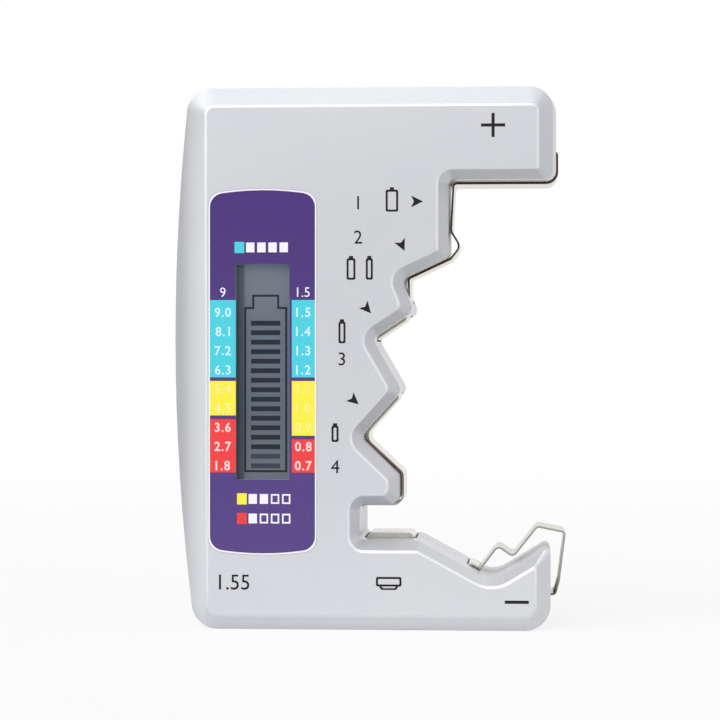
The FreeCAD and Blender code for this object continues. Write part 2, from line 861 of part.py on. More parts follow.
def rear_cover():
    body = new_body("rear_cover")
    loft(body, "shell", [
        section(body, "back", BACK, evenly(outline, size.back_bevel)),
        section(body, "wall_back", f"({BACK} - sizes.back_bevel)", outline),
        section(body, "wall_front", f"({PARTING} + sizes.seam)", outline),
        section(body, "seam", PARTING, evenly(outline, size.seam)),
    ])
    pocket(body, "cavity", section(body, "cavity_outline", BACK_INNER, cavity))

    root = f"({BACK_INNER} + sizes.rear_wall * {POST_ROOT})"
    posts = polygons(body, "post_rings", root, post_centres(), "sizes.post_radius")
    pad(body, "posts", posts, f"{root} - {PARTING}")
    head_wells = circles(body, "head_wells", BACK, post_centres(), "sizes.screw_head_radius + sizes.screw_room")
    pocket(body, "head_seats", head_wells, "sizes.screw_seat")
    screw_holes = polygons(body, "screw_rings", BACK, post_centres(), "sizes.screw_radius + sizes.screw_room")
    pocket(body, "screw_holes", screw_holes)

    openings = front_sketch(body, "opening_outlines", f"({STRIP_BACK} + sizes.slot_gap)", contact_openings())
    pocket(body, "contact_openings", openings)
    return body


def screw(name, head_shape, centre, seat_level, head, head_radius, shank_base, radius):
    """A screw along Y, with its head to the back."""
    x, z = str(centre.x), str(centre.z)
    top = head_shape(f"{name}_head", (x, seat_level, z), head_radius, head)
    shank = prism(f"{name}_shank", (x, shank_base, z), radius, f"{seat_level} - {shank_base}")
    return joined(name, [top, shank])


def case_screws():
    base = f"({PARTING} - sizes.screw_reach)"
    return grouped("case_screws", [
        screw(f"case_screw_{index}", rod, centre, SCREW_SEAT, "sizes.screw_head", "sizes.screw_head_radius",
              base, "sizes.screw_radius")
        for index, centre in enumerate(post_centres(), start=1)])


def board_screws():
    base = f"({BOARD_FRONT} - sizes.board_screw_reach)"
    return grouped("board_screws", [
        screw(f"board_screw_{index}", prism, centre, BOARD_BACK, "sizes.board_head", "sizes.board_head_radius",
              base, "sizes.board_screw_radius")
        for index, centre in enumerate(board_post_centres(), start=1)])


# Printed label and display

def scale_label():
    body = new_body("scale_label")
    edges = rounded(label_outline().values()) + rounded(window_corners())
    film = front_sketch(body, "outline", f"({FACE} + sizes.label_recess)", edges)
    pad(body, "film", film, "sizes.label_thickness")
    return body


def display_block(name, width, length, level, thickness):
    """A flat layer of the display, centred on the window."""
    corner = (f"{DISPLAY_X} - {width} / 2", level, f"sizes.display_height - {length} / 2")
    return block(name, corner, (width, thickness, length))


def display_pieces():
    glass = ("sizes.glass_width", "sizes.glass_length")
    inner = ("sizes.rear_glass_width", "sizes.glass_length")
    yield display_block("lcd_front_polarizer", *glass, INNER, "sizes.film_thickness")
    yield display_block("lcd_front_glass", *glass, GLASS_FRONT, "sizes.glass_thickness")
    yield display_block("lcd_rear_glass", *inner, GLASS_MIDDLE, "sizes.glass_thickness")
    yield display_block("lcd_reflector", *inner, GLASS_BACK, "sizes.film_thickness")


def zebra_strips():
    """Conductive rubber strips from the ledges of the front glass to the board."""
    span = ("sizes.zebra_width", f"{BOARD_FRONT} - {GLASS_MIDDLE}", "sizes.glass_length")
    base = "sizes.display_height - sizes.glass_length / 2"
    left = f"{DISPLAY_X} - sizes.glass_width / 2"
    right = f"{DISPLAY_X} + sizes.glass_width / 2 - sizes.zebra_width"
    return grouped("zebra_strips", [
        block("zebra_left", (left, GLASS_MIDDLE, base), span),
        block("zebra_right", (right, GLASS_MIDDLE, base), span)])


def display_frame():
    """Frame that holds the display between the front wall and the board."""
    depth = "sizes.board_gap"
    room = "2 * sizes.frame_room"
    band = "2 * sizes.frame_band"
    outer = display_block("frame_block", f"(sizes.glass_width + {room} + {band})",
                          f"(sizes.glass_length + {room} + {band})", INNER, depth)
    opening = display_block("frame_opening", f"(sizes.glass_width + {room})", f"(sizes.glass_length + {room})",
                            INNER, depth)
    frame = document.addObject("Part::Cut", "display_frame")
    frame.Base = outer
    frame.Tool = opening
    return frame


# Circuit board and what it carries

def circuit_board():
    plate = block("board_plate", (BOARD_LEFT, BOARD_FRONT, BOARD_BASE),
                  (BOARD_WIDTH, "sizes.board_thickness", "sizes.board_length"))
    holes = [prism(f"board_hole_{index}", (str(centre.x), BOARD_FRONT, str(centre.z)),
                   "sizes.board_screw_radius + sizes.screw_room", "sizes.board_thickness")
             for index, centre in enumerate(board_post_centres(), start=1)]
    board = document.addObject("Part::Cut", "circuit_board")
    board.Base = plate
    board.Tool = grouped("board_holes", holes)
    return board


# Spots on the board, as shares of its width and length from the lower left
BOARD_SPOTS = {
    "chip_blob": (0.42, 0.55),
    "resistors": (0.2, 0.85),
    "capacitors": (0.28, 0.25),
    "diode": (0.4, 0.75),
    "load_resistor": (0.82, 0.5),
}
CAPACITOR_COUNT = 2
# Radius of the top of the resin, as a share of its foot
BLOB_TOP = 0.5


def on_board(name):
    share_x, share_z = BOARD_SPOTS[name]
    return (f"({BOARD_LEFT} + {BOARD_WIDTH} * {share_x})", f"({BOARD_BASE} + sizes.board_length * {share_z})")


def chip_blob():
    """Flattened drop of resin over the bare chip."""
    drop = document.addObject("Part::Cone", "chip_blob")
    drop.setExpression("Radius1", "sizes.blob_radius")
    drop.setExpression("Radius2", f"sizes.blob_radius * {BLOB_TOP}")
    drop.setExpression("Height", "sizes.blob_height")
    drop.Placement = Placement(Vector(), Rotation(Vector(0, 0, 1), Vector(0, 1, 0)))
    x, z = on_board("chip_blob")
    return place(drop, x, BOARD_BACK, z)


def resistors():
    x, z = on_board("resistors")
    span = ("sizes.chip_width", "sizes.chip_height", "sizes.chip_length")
    return grouped("resistors", [
        block(f"resistor_{index}", (f"{x} + {index} * sizes.chip_pitch", BOARD_BACK, z), span)
        for index in range(size.chip_count)])


def capacitors():
    x, z = on_board("capacitors")
    return grouped("capacitors", [
        rod(f"capacitor_{index}", (f"{x} + {index} * sizes.capacitor_pitch", BOARD_BACK, z),
            "sizes.capacitor_radius", "sizes.capacitor_height")
        for index in range(CAPACITOR_COUNT)])


def diode():
    x, z = on_board("diode")
    return rod("diode", (x, f"{BOARD_BACK} + sizes.diode_radius", z), "sizes.diode_radius", "sizes.diode_length",
               Vector(1, 0, 0))


def load_resistor():
    """Wire-ended resistor that loads the cell, standing off the board on its two pins."""
    x, z = on_board("load_resistor")
    drop = f"{BOARD_BACK} + sizes.load_lift"
    barrel = rod("load_barrel", (x, drop, z), "sizes.load_radius", "sizes.load_length", Vector(0, 0, 1))
    along = number(x)
    axis = number(drop)
    low = number(z)
    high = low + size.load_length
    foot = number(BOARD_BACK)
    pins = []
    for name, end, reach in (("low", low, -size.load_pin_reach), ("high", high, size.load_pin_reach)):
        points = [Vector(along, axis, end), Vector(along, axis, end + reach), Vector(along, foot, end + reach)]
        pins.append(wire_rod(f"load_pin_{name}", points, size.load_pin, 2 * size.load_pin))
    return joined("load_resistor", [barrel, *pins])


# Nine-volt pads and leads

def nine_volt_contact(name, radius, side):
    """A dished round pad, seated in the left wall, riveted through it and clenched inside."""
    y, z = PAD_LEVEL, f"sizes.pad_height + {side} * sizes.pad_spacing / 2"
    seat_x = f"({GRIP_X} + sizes.pad_seat)"
    clench_x = f"({GRIP_X} + sizes.wall + sizes.pad_clench_gap)"
    outward = Vector(-1, 0, 0)
    dish = size.pad_thickness - size.pad_dish
    disc = revolve(new_body(f"{name}_disc"), [
        (0, 0), (radius, 0), (radius, size.pad_thickness), (radius - size.pad_rim, size.pad_thickness),
        (radius - 2 * size.pad_rim, dish), (0, dish)])
    disc.Placement = Placement(Vector(), Rotation(Vector(0, 0, 1), outward))
    place(disc, seat_x, y, z)
    shank = prism(f"{name}_shank", (clench_x, y, z), "sizes.pad_shank", f"{clench_x} - {seat_x}", outward)
    clench = prism(f"{name}_clench", (f"{clench_x} + sizes.pad_clench", y, z), "sizes.pad_clench_radius",
                   "sizes.pad_clench", outward)
    return joined(name, [disc, shank, clench])


# Where the positive lead meets the strip inside the second tooth, as a share of that run
LEAD_SPOT = 0.3


def lead(name, points):
    return wire_rod(name, points, size.lead_radius, size.lead_bend)


def leads():
    board = number(BOARD_BACK)
    level = board + size.lead_lift
    inside, core = tooth_two_run()[:2]
    across = heading(inside, core)
    away = Vector(across.y, 0, -across.x)
    joint = part_way(inside, core, LEAD_SPOT)
    touch = Vector(joint.x, level, joint.z) + away * (size.strip_thickness / 2)
    corner = touch + away * size.lead_run
    yield lead("positive_lead", [Vector(corner.x, board, corner.z), corner, touch])

    bus = negative_path()[0]
    x = bus.x + size.lead_margin
    z = number(BOARD_BASE) + size.lead_rise
    top = bus.z + size.strip_thickness / 2
    yield lead("negative_lead", [Vector(x, board, z), Vector(x, level, z), Vector(x, level, top)])

    x = number(BOARD_LEFT) + size.lead_margin
    clench = number(GRIP_X) + size.wall + size.pad_clench_gap + size.pad_clench
    y = number(PAD_LEVEL)
    for name, side in (("nine_volt_positive_lead", 1), ("nine_volt_negative_lead", -1)):
        z = size.pad_height + side * size.pad_spacing / 2
        yield lead(name, [Vector(x, board, z), Vector(x, y, z), Vector(clench, y, z)])


sub_parts = [
    front_cover(),
    rear_cover(),
    case_screws(),
    scale_label(),
    *display_pieces(),
    zebra_strips(),
    display_frame(),
    circuit_board(),
    board_screws(),
    chip_blob(),
    resistors(),
    capacitors(),
    diode(),
    load_resistor(),
    strip("positive_strip", positive_path()),
    strip("negative_strip", negative_path()),
    button_cell_leaf(),
    strip("spring_arm", arm_path()),
    nine_volt_contact("nine_volt_positive_contact", size.pad_radius_positive, 1),
    nine_volt_contact("nine_volt_negative_contact", size.pad_radius_negative, -1),
    *leads(),
]
document.recompute()

for item in document.Objects:
    faults = {"Invalid", "Error"} & set(item.State)
    if faults:
        raise RuntimeError(f"{item.Name} failed: {sorted(faults)}")
for item in sub_parts:
    if item.Shape.isNull() or not item.Shape.isValid() or not item.Shape.Solids:
        raise RuntimeError(f"{item.Label} has no valid solid")

os.makedirs("parts", exist_ok=True)
for item in sub_parts:
    item.Shape.exportStep(f"parts/{item.Label}.step")
    print(f"{item.Label}: {len(item.Shape.Solids)} solids, {item.Shape.Volume:.1f} mm3")
print(f"spring arm axis at x {hinge.x:.3f}, z {hinge.z:.3f}")
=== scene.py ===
import json
import math

import bmesh
import bpy
from mathutils import Matrix, Vector

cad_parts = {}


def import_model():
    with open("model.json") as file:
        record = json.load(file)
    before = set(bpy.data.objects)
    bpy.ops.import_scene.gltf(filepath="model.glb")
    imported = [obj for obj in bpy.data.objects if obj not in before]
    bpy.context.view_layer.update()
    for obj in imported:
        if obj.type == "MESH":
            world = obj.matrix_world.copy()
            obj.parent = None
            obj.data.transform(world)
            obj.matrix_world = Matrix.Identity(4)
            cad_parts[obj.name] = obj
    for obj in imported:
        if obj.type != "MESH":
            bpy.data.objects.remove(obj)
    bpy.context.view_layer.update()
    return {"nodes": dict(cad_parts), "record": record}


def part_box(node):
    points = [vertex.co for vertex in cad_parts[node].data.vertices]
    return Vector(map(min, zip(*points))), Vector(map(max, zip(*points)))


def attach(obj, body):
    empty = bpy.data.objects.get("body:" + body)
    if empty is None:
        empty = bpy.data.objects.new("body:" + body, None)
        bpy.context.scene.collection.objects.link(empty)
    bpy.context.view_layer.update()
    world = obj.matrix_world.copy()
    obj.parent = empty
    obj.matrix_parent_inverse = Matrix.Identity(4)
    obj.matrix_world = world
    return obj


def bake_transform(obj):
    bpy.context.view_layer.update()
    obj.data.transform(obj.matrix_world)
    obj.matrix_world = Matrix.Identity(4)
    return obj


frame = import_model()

# The battery tester's looks. Lengths are in millimetres in the frame's axes (+X right, +Z up, front faces -Y)
# and become metres where a mesh, lamp or camera is made.
MM = 0.001
CASE = "case_body"


def box_mm(node):
    """Lowest and highest corner of a CAD node, in millimetres."""
    low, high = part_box(node)
    return low / MM, high / MM


# Levels and middle lines read from the frame
case_low, case_high = box_mm("front_cover")
label_low, label_high = box_mm("scale_label")
film_low, film_high = box_mm("lcd_front_polarizer")
FACE_Y = case_low.y
LABEL_Y = label_low.y
FILM_Y = film_low.y
LABEL_X = (label_low.x + label_high.x) / 2
LABEL_Z = (label_low.z + label_high.z) / 2

# Thickness of a print, and how far the rounded rim of the face lies behind it
INK = 0.03
CROWN_DROP = 0.16


def linear(red, green, blue):
    """A colour given in 8-bit display values, as linear light."""
    tones = [value / 255 for value in (red, green, blue)]
    return [tone / 12.92 if tone <= 0.04045 else ((tone + 0.055) / 1.055) ** 2.4 for tone in tones]


def shaded(colour, share):
    """The same colour, lighter or darker by a share."""
    return [min(1.0, tone * share) for tone in colour]


def grey(tone):
    """A neutral tone of linear light."""
    return (tone, tone, tone)


# Materials

class Recipe:
    """A material under construction, with short ways to add and join nodes."""

    def __init__(self, name, **constants):
        self.material = bpy.data.materials.new(name)
        self.material.use_nodes = True
        self.tree = self.material.node_tree
        self.shader = self.tree.nodes["Principled BSDF"]
        for socket, amount in constants.items():
            self.shader.inputs[socket.replace("_", " ")].default_value = amount

    def node(self, kind, **settings):
        made = self.tree.nodes.new(f"ShaderNode{kind}")
        for setting, value in settings.items():
            setattr(made, setting, value)
        return made

    def join(self, start, end):
        self.tree.links.new(start, end)

    def place(self):
        """Object coordinates, which are the frame's own metres."""
        return self.node("TexCoord").outputs["Object"]

    def along(self, axis):
        split = self.node("SeparateXYZ")
        self.join(self.place(), split.inputs[0])
        return split.outputs[axis]

    def noise(self, per_mm, detail=3.0):
        """Noise with a given number of grains to the millimetre."""
        texture = self.node("TexNoise")
        texture.inputs["Scale"].default_value = per_mm / MM
        texture.inputs["Detail"].default_value = detail
        self.join(self.place(), texture.inputs["Vector"])
        return texture.outputs["Fac"]

    def ramp(self, factor, stops):
        """A colour ramp through stops of place and colour."""
        made = self.node("ValToRGB")
        elements = made.color_ramp.elements
        while len(elements) < len(stops):
            elements.new(0.5)
        for element, (spot, colour) in zip(elements, stops):
            element.position = spot
            element.color = (*colour, 1.0)
        self.join(factor, made.inputs["Fac"])
        return made.outputs["Color"]

    def stretch(self, value, low, high, to_low=0.0, to_high=1.0):
        """A value carried from one range to another."""
        made = self.node("MapRange")
        for socket, amount in zip(("From Min", "From Max", "To Min", "To Max"), (low, high, to_low, to_high)):
            made.inputs[socket].default_value = amount
        self.join(value, made.inputs["Value"])
        return made.outputs["Result"]

    def mix(self, factor, first, second, blend="MIX"):
        """Two colours mixed by a factor, which is a number or a socket."""
        made = self.node("Mix", data_type="RGBA", blend_type=blend)
        if isinstance(factor, float):
            made.inputs["Factor"].default_value = factor
        else:
            self.join(factor, made.inputs["Factor"])
        for socket, value in ((made.inputs["A"], first), (made.inputs["B"], second)):
            if isinstance(value, (list, tuple)):
                socket.default_value = (*value, 1.0)
            else:
                self.join(value, socket)
        return made.outputs["Result"]

    def set(self, socket, value):
        self.join(value, self.shader.inputs[socket])

    def bump(self, height, depth_mm, strength=0.5):
        made = self.node("Bump")
        made.inputs["Strength"].default_value = strength
        made.inputs["Distance"].default_value = depth_mm * MM
        self.join(height, made.inputs["Height"])
        self.set("Normal", made.outputs["Normal"])


def grained(name, colour, spread=0.06, per_mm=1.5, roughness=(0.35, 0.5), bump_mm=0.004, **constants):
    """A plain moulded, drawn or printed finish: its tone, gloss and surface vary with a fine grain."""
    recipe = Recipe(name, **constants)
    grain = recipe.noise(per_mm)
    tones = [(0.3, shaded(colour, 1 - spread)), (0.7, shaded(colour, 1 + spread))]
    recipe.set("Base Color", recipe.ramp(grain, tones))
    recipe.set("Roughness", recipe.stretch(grain, 0.3, 0.7, *roughness))
    recipe.bump(grain, bump_mm)
    return recipe.material


SILVER = linear(210, 211, 215)
# Painted highlight tone for the rounded rim of the face
SILVER_HIGHLIGHT = linear(240, 241, 244)
# Left edge of the flat face, and the groove where the covers meet, with its painted shade
FACE_LEFT = -29.6
SEAM = 0.3
SEAM_Y = box_mm("rear_cover")[0].y
SEAM_SHADE = (0.3, 0.3, 0.31)


def silver_plastic():
    """Satin silver moulding with fine flakes, with painted light: paler at its base, a painted highlight along
    the rim, painted shade in the seam, and a painted sheen across the left bevel.
    """
    recipe = Recipe("silver_plastic", Metallic=0.35, Coat_Weight=0.3, Coat_Roughness=0.12)
    flakes = recipe.noise(4.0, detail=2.0)
    clouds = recipe.noise(0.05)
    body = recipe.ramp(flakes, [(0.35, shaded(SILVER, 0.97)), (0.65, shaded(SILVER, 1.03))])
    cloud_tones = recipe.ramp(clouds, [(0.3, (0.97, 0.97, 0.98)), (0.7, grey(1.0))])
    clouded = recipe.mix(1.0, body, cloud_tones, blend="MULTIPLY")

    rise = recipe.stretch(recipe.along("Z"), 0.0, case_high.z * MM)
    # Painted light: the case is palest at its base and darker higher up
    painted_light_by_height = recipe.ramp(rise, [(0.0, grey(1.0)), (0.15, grey(0.98)), (0.4, grey(0.9)), (0.75, grey(0.86)),
                                 (1.0, grey(0.9))])
    # Painted shade in the seam where the covers meet
    across = recipe.stretch(recipe.along("Y"), (SEAM_Y - SEAM) * MM, (SEAM_Y + SEAM) * MM)
    groove = recipe.ramp(across, [(0.0, grey(1.0)), (0.15, SEAM_SHADE), (0.85, SEAM_SHADE), (1.0, grey(1.0))])
    # Painted sheen across the left bevel: darker at its outer edge, brighter near the face
    reach = recipe.stretch(recipe.along("X"), case_low.x * MM, FACE_LEFT * MM)
    sheen = recipe.ramp(reach, [(0.2, grey(0.68)), (0.5, grey(0.9)), (0.85, grey(1.04)), (0.97, grey(1.04)),
                                (1.0, grey(1.0))])
    shades = recipe.mix(1.0, painted_light_by_height, groove, blend="MULTIPLY")
    # The painted shade and painted sheen together
    moulded = recipe.mix(1.0, shades, sheen, blend="MULTIPLY")
    shaded_body = recipe.mix(1.0, clouded, moulded, blend="MULTIPLY")

    # Painted highlight: a pale line on the rounded rim of the face, fainter near the base
    depth = recipe.stretch(recipe.along("Y"), FACE_Y * MM, (FACE_Y + 3 * CROWN_DROP) * MM)
    crown = recipe.ramp(depth, [(0.0, grey(0.0)), (0.04, grey(1.0)), (0.2, grey(1.0)), (0.3, grey(0.0))])
    rim_highlight_by_height = recipe.ramp(rise, [(0.0, grey(0.1)), (0.05, grey(0.1)), (0.09, grey(0.35))])
    rim = recipe.mix(1.0, crown, rim_highlight_by_height, blend="MULTIPLY")
    recipe.set("Base Color", recipe.mix(rim, shaded_body, SILVER_HIGHLIGHT))
    recipe.set("Roughness", recipe.stretch(flakes, 0.35, 0.65, 0.32, 0.35))
    recipe.bump(flakes, 0.0012, strength=0.12)
    return recipe.material


def sheared_strip(name, face, edges, roughness):
    """Plated strip, drawn along Y. Its sheared edges, front and back, are bare, with painted shade and light
    that follow Z.
    """
    recipe = Recipe(name, Metallic=1.0)
    stroke = recipe.node("Mapping")
    stroke.inputs["Scale"].default_value = (1.0, 0.05, 1.0)
    recipe.join(recipe.place(), stroke.inputs["Vector"])
    drawn = recipe.node("TexNoise")
    drawn.inputs["Scale"].default_value = 1.2 / MM
    recipe.join(stroke.outputs["Vector"], drawn.inputs["Vector"])
    plated = recipe.ramp(drawn.outputs["Fac"], [(0.3, shaded(face, 0.95)), (0.7, shaded(face, 1.03))])
    rise = recipe.stretch(recipe.along("Z"), 0.0, case_high.z * MM)
    # Painted shade and light: the edge tone follows the height
    tones = recipe.ramp(rise, [(height / case_high.z, tone) for height, tone in edges])
    tarnish = recipe.ramp(recipe.noise(0.8), [(0.3, grey(0.85)), (0.7, grey(1.0))])
    bare = recipe.mix(1.0, tones, tarnish, blend="MULTIPLY")
    facing = recipe.node("SeparateXYZ")
    recipe.join(recipe.node("TexCoord").outputs["Normal"], facing.inputs[0])
    size = recipe.node("Math", operation="ABSOLUTE")
    recipe.join(facing.outputs["Y"], size.inputs[0])
    sheared = recipe.stretch(size.outputs[0], 0.6, 0.9)
    recipe.set("Base Color", recipe.mix(sheared, plated, bare))
    recipe.set("Roughness", recipe.stretch(drawn.outputs["Fac"], 0.3, 0.7, *roughness))
    recipe.bump(drawn.outputs["Fac"], 0.001, strength=0.03)
    return recipe.material


PURPLE_TOP = linear(72, 46, 120)
PURPLE_BASE = linear(88, 67, 134)


def label_film():
    """Purple print under a clear film, a little paler towards the base, with a faint orange-peel surface."""
    recipe = Recipe("label_film", Specular_IOR_Level=0.25)
    rise = recipe.stretch(recipe.along("Z"), label_low.z * MM, label_high.z * MM)
    wash = recipe.ramp(rise, [(0.0, PURPLE_BASE), (1.0, PURPLE_TOP)])
    speckle = recipe.ramp(recipe.noise(1.2), [(0.3, grey(0.9)), (0.7, grey(1.0))])
    share = recipe.stretch(recipe.noise(0.3), 0.0, 1.0, 0.5, 1.0)
    recipe.set("Base Color", recipe.mix(share, wash, speckle, blend="MULTIPLY"))
    recipe.set("Roughness", recipe.stretch(recipe.noise(0.6), 0.3, 0.7, 0.3, 0.42))
    recipe.bump(recipe.noise(0.8), 0.004, strength=0.3)
    return recipe.material


WINDOW_WIDTH = 9.75
WINDOW_LEFT = LABEL_X - WINDOW_WIDTH / 2
SHADE_REACH = 1.7


def display_film():
    """Grey display, darker down its length, with a painted shadow along the left edge of the window."""
    recipe = Recipe("display_film", Specular_IOR_Level=0.3)
    rise = recipe.stretch(recipe.along("Z"), film_low.z * MM, film_high.z * MM)
    tones = recipe.ramp(rise, [(0.0, linear(104, 112, 120)), (0.3, linear(90, 100, 112)),
                               (0.7, linear(98, 109, 121)), (1.0, linear(120, 131, 142))])
    # Painted shadow of the window's left edge on the display
    across = recipe.stretch(recipe.along("X"), WINDOW_LEFT * MM, (WINDOW_LEFT + SHADE_REACH) * MM)
    shade = recipe.ramp(across, [(0.0, (0.38, 0.4, 0.46)), (0.7, (0.45, 0.47, 0.52)), (1.0, grey(1.0))])
    grain = recipe.noise(0.15)
    recipe.set("Base Color", recipe.mix(1.0, tones, shade, blend="MULTIPLY"))
    recipe.set("Roughness", recipe.stretch(grain, 0.3, 0.7, 0.3, 0.4))
    recipe.bump(grain, 0.0002)
    return recipe.material


def layered_rubber():
    """Thin black and pink layers, stacked along Z."""
    recipe = Recipe("layered_rubber", Roughness=0.7)
    wave = recipe.node("TexWave", bands_direction="Z")
    wave.inputs["Scale"].default_value = 1.2 / MM
    recipe.join(recipe.place(), wave.inputs["Vector"])
    layers = [(0.45, linear(196, 150, 160)), (0.55, linear(40, 38, 40))]
    recipe.set("Base Color", recipe.ramp(wave.outputs["Fac"], layers))
    recipe.bump(wave.outputs["Fac"], 0.01)
    return recipe.material


def banded_lacquer():
    """Beige resistor lacquer with four colour rings along Z."""
    recipe = Recipe("banded_lacquer", Coat_Weight=0.4)
    low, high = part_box("load_resistor")
    rise = recipe.stretch(recipe.along("Z"), low.z, high.z)
    beige = linear(205, 178, 132)
    rings = ((0.34, linear(120, 60, 30)), (0.44, linear(30, 30, 32)), (0.54, linear(190, 40, 35)),
             (0.68, linear(180, 140, 50)))
    stops = [(0.0, beige)]
    for spot, colour in rings:
        stops += [(spot, beige), (spot + 0.005, colour), (spot + 0.045, colour), (spot + 0.05, beige)]
    grain = recipe.noise(1.0)
    recipe.set("Base Color", recipe.ramp(rise, stops))
    recipe.set("Roughness", recipe.stretch(grain, 0.3, 0.7, 0.25, 0.4))
    recipe.bump(grain, 0.02)
    return recipe.material


NICKEL = linear(224, 221, 213)
SPRING_NICKEL = linear(206, 203, 196)
SHADED_BROWN_EDGE = linear(72, 56, 48)
DIM_EDGE = linear(128, 110, 98)
LIT_PALE_EDGE = linear(176, 168, 158)
GREY_EDGE = linear(178, 177, 168)
SPRING_EDGE = linear(160, 158, 152)
HOOK_SHADE_EDGE = linear(96, 93, 89)

# Tone of the sheared edges at heights along Z: painted shade under the arm and by the hook, and painted light
# where the edges are lit
STRIP_EDGES = ((22, GREY_EDGE), (25, DIM_EDGE), (33, DIM_EDGE), (36, LIT_PALE_EDGE), (58, LIT_PALE_EDGE),
               (62, SHADED_BROWN_EDGE))
SPRING_EDGES = ((6.5, HOOK_SHADE_EDGE), (9, SPRING_EDGE), (25, SPRING_EDGE))

finishes = {
    "silver_case": silver_plastic(),
    "label_film": label_film(),
    "display_film": display_film(),
    "display_glass": grained("display_glass", linear(225, 234, 230), spread=0.02, per_mm=0.2,
                             roughness=(0.03, 0.06), bump_mm=0.0005, IOR=1.5),
    "reflector_film": grained("reflector_film", linear(190, 196, 196), per_mm=3.0, Metallic=0.9),
    "zebra_rubber": layered_rubber(),
    "frame_plastic": grained("frame_plastic", linear(228, 228, 222)),
    "board_laminate": grained("board_laminate", linear(38, 110, 60), spread=0.12, per_mm=0.8,
                              roughness=(0.3, 0.45)),
    "black_resin": grained("black_resin", linear(30, 30, 32), spread=0.25, roughness=(0.45, 0.65)),
    "capacitor_sleeve": grained("capacitor_sleeve", linear(34, 40, 62), spread=0.15, roughness=(0.2, 0.35)),
    "resistor_lacquer": banded_lacquer(),
    "nickel_strip": sheared_strip("nickel_strip", NICKEL, STRIP_EDGES, (0.26, 0.3)),
    "nickel_pad": grained("nickel_pad", NICKEL, spread=0.04, per_mm=0.6, roughness=(0.27, 0.31), Metallic=1.0),
    "screw_steel": grained("screw_steel", linear(186, 188, 192), spread=0.1, per_mm=3.0, roughness=(0.3, 0.5),
                           Metallic=1.0),
    "red_wire": grained("red_wire", linear(190, 40, 36), spread=0.1, roughness=(0.4, 0.6)),
    "black_wire": grained("black_wire", linear(34, 34, 36), spread=0.2, roughness=(0.4, 0.6)),
}
spring_finish = sheared_strip("spring_strip", SPRING_NICKEL, SPRING_EDGES, (0.27, 0.32))
inks = {
    "white_ink": grained("white_ink", linear(244, 242, 248), spread=0.03, per_mm=4.0),
    "black_ink": grained("black_ink", linear(20, 20, 24), spread=0.15, per_mm=4.0, Specular_IOR_Level=0.2),
    "cyan_ink": grained("cyan_ink", linear(66, 206, 222), spread=0.04, per_mm=2.0),
    "yellow_ink": grained("yellow_ink", linear(252, 236, 60), spread=0.03, per_mm=2.0),
    "red_ink": grained("red_ink", linear(236, 52, 52), spread=0.05, per_mm=2.0),
    "cyan_number": grained("cyan_number", linear(206, 240, 246), spread=0.03, per_mm=4.0),
    "yellow_number": grained("yellow_number", linear(252, 243, 150), spread=0.03, per_mm=4.0),
    "red_number": grained("red_number", linear(250, 214, 214), spread=0.03, per_mm=4.0),
    "segment_ink": grained("segment_ink", linear(26, 34, 46), spread=0.08, per_mm=2.0, Specular_IOR_Level=0.2),
    "faint_segment_ink": grained("faint_segment_ink", linear(56, 64, 76), spread=0.08, per_mm=2.0,
                                 Specular_IOR_Level=0.2),
    "recess_shade": grained("recess_shade", linear(52, 53, 56), spread=0.2, per_mm=4.0, Metallic=0.6),
}

for subpart in frame["record"]["subparts"]:
    node = frame["nodes"][subpart["node"]]
    node.data.materials.clear()
    node.data.materials.append(finishes[subpart["material_slot"]])
frame["nodes"]["spring_arm"].data.materials[0] = spring_finish


# Flat prints: closed plates that lie in the plane of the front face

ARC_STEPS = 6


def rounded(corners, radii):
    """Points of a closed outline whose corners are arcs, each with its own radius."""
    points = []
    for index, (corner, radius) in enumerate(zip(corners, radii)):
        here = Vector(corner)
        back = (Vector(corners[index - 1]) - here).normalized()
        onward = (Vector(corners[(index + 1) % len(corners)]) - here).normalized()
        half_angle = back.angle(onward) / 2
        centre = here + (back + onward).normalized() * (radius / math.sin(half_angle))
        start = (here + back * (radius / math.tan(half_angle)) - centre).normalized()
        end = (here + onward * (radius / math.tan(half_angle)) - centre).normalized()
        for step in range(ARC_STEPS + 1):
            points.append(centre + start.slerp(end, step / ARC_STEPS) * radius)
    return points


def rectangle(centre_x, centre_z, width, height, radius=0.0):
    """Corners of a rectangle, or its outline with round corners."""
    half, rise = width / 2, height / 2
    corners = [(centre_x - half, centre_z - rise), (centre_x + half, centre_z - rise),
               (centre_x + half, centre_z + rise), (centre_x - half, centre_z + rise)]
    return rounded(corners, [radius] * len(corners)) if radius else corners


def plate_mesh(data):
    """Mesh of a flat curve or text, with its front and back closed, in the plane of the face."""
    data.fill_mode = "BOTH"
    data.extrude = INK / 2
    holder = bpy.data.objects.new("plate", data)
    bpy.context.scene.collection.objects.link(holder)
    bpy.context.view_layer.update()
    mesh = bpy.data.meshes.new_from_object(holder.evaluated_get(bpy.context.evaluated_depsgraph_get()))
    bpy.data.objects.remove(holder)
    mesh.transform(Matrix.Rotation(math.radians(90), 4, "X"))
    return mesh


def plate(*loops):
    """A plate between closed outlines: a loop within another is a hole."""
    data = bpy.data.curves.new("plate", "CURVE")
    data.dimensions = "2D"
    for loop in loops:
        spline = data.splines.new("POLY")
        spline.points.add(len(loop) - 1)
        for point, spot in zip(spline.points, loop):
            point.co = (spot[0], spot[1], 0, 1)
        spline.use_cyclic_u = True
    return plate_mesh(data)


DIGIT_WIDTH = 0.96
BOLD = 0.022


